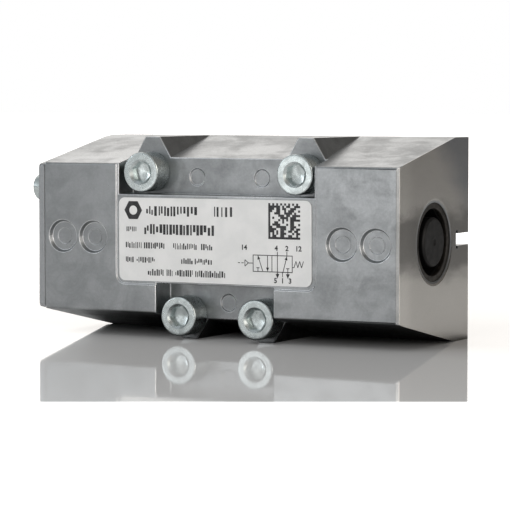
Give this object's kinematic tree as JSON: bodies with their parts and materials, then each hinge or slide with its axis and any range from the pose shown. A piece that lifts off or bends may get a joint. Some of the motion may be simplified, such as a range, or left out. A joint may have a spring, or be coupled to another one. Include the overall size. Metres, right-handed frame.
{
  "type": "directional valve",
  "caption": "Air-piloted directional spool valve with spring return in a tapered die-cast body, screwed to a sub-base through its ported back face.",
  "frame": {"origin": "middle of the mounting face, level with the spool bore", "axes": "+X along the spool from the pilot end to the spring end, +Y out of the mounting face, +Z towards the wide-set pair of mounting screws"},
  "size_m": [0.0872, 0.041, 0.0418],
  "materials": {
    "die_cast_aluminium": "matt die-cast skin, lightly blasted",
    "cover_aluminium": "satin",
    "zinc_plated_steel": "bright bluish zinc plating",
    "label_foil": "silver-grey satin label film",
    "black_rubber": "matt moulded rubber",
    "gasket_sheet": "matt gasket sheet",
    "black_plastic": "moulded, slight sheen",
    "phosphated_steel": "dark phosphate, oiled",
    "spool_aluminium": "hard anodised and ground",
    "spacer_plastic": "glass-filled moulding",
    "piston_plastic": "natural acetal",
    "spring_steel": "drawn spring wire"
  },
  "bodies": {
    "housing": {"valve_body": "die_cast_aluminium", "label_plate": "label_foil", "mounting_screws": "zinc_plated_steel", "base_gasket": "black_rubber", "end_cover": "cover_aluminium", "cover_gasket": "gasket_sheet", "cover_screws": "zinc_plated_steel", "seal_1": "black_rubber", "seal_2": "black_rubber", "seal_3": "black_rubber", "seal_4": "black_rubber", "seal_5": "black_rubber", "seal_6": "black_rubber", "spacer_1": "spacer_plastic", "spacer_2": "spacer_plastic", "spacer_3": "spacer_plastic", "spacer_4": "spacer_plastic", "spacer_5": "spacer_plastic", "clamp_sleeve": "spacer_plastic", "return_spring": "spring_steel", "end_plug": "black_plastic", "plug_o_ring": "black_rubber", "retaining_ring": "phosphated_steel"},
    "spool": {"spool": "spool_aluminium", "spring_seat": "spring_steel"},
    "pilot_piston": {"pilot_piston": "piston_plastic", "piston_seal": "black_rubber"}
  },
  "joints": [
    {"name": "spool_slide", "type": "slide", "parent": "housing", "child": "spool", "axis": [1, 0, 0], "range_m": [0, 0.004], "stiffness_N_per_m": 2500, "springref_m": -0.006, "deforming": ["return_spring"]},
    {"name": "pilot_piston_slide", "type": "slide", "parent": "housing", "child": "pilot_piston", "axis": [1, 0, 0], "range_m": [0, 0.004]}
  ],
  "couplings": [
    {"joint": "pilot_piston_slide", "follows": "spool_slide", "ratio": 1}
  ]
}
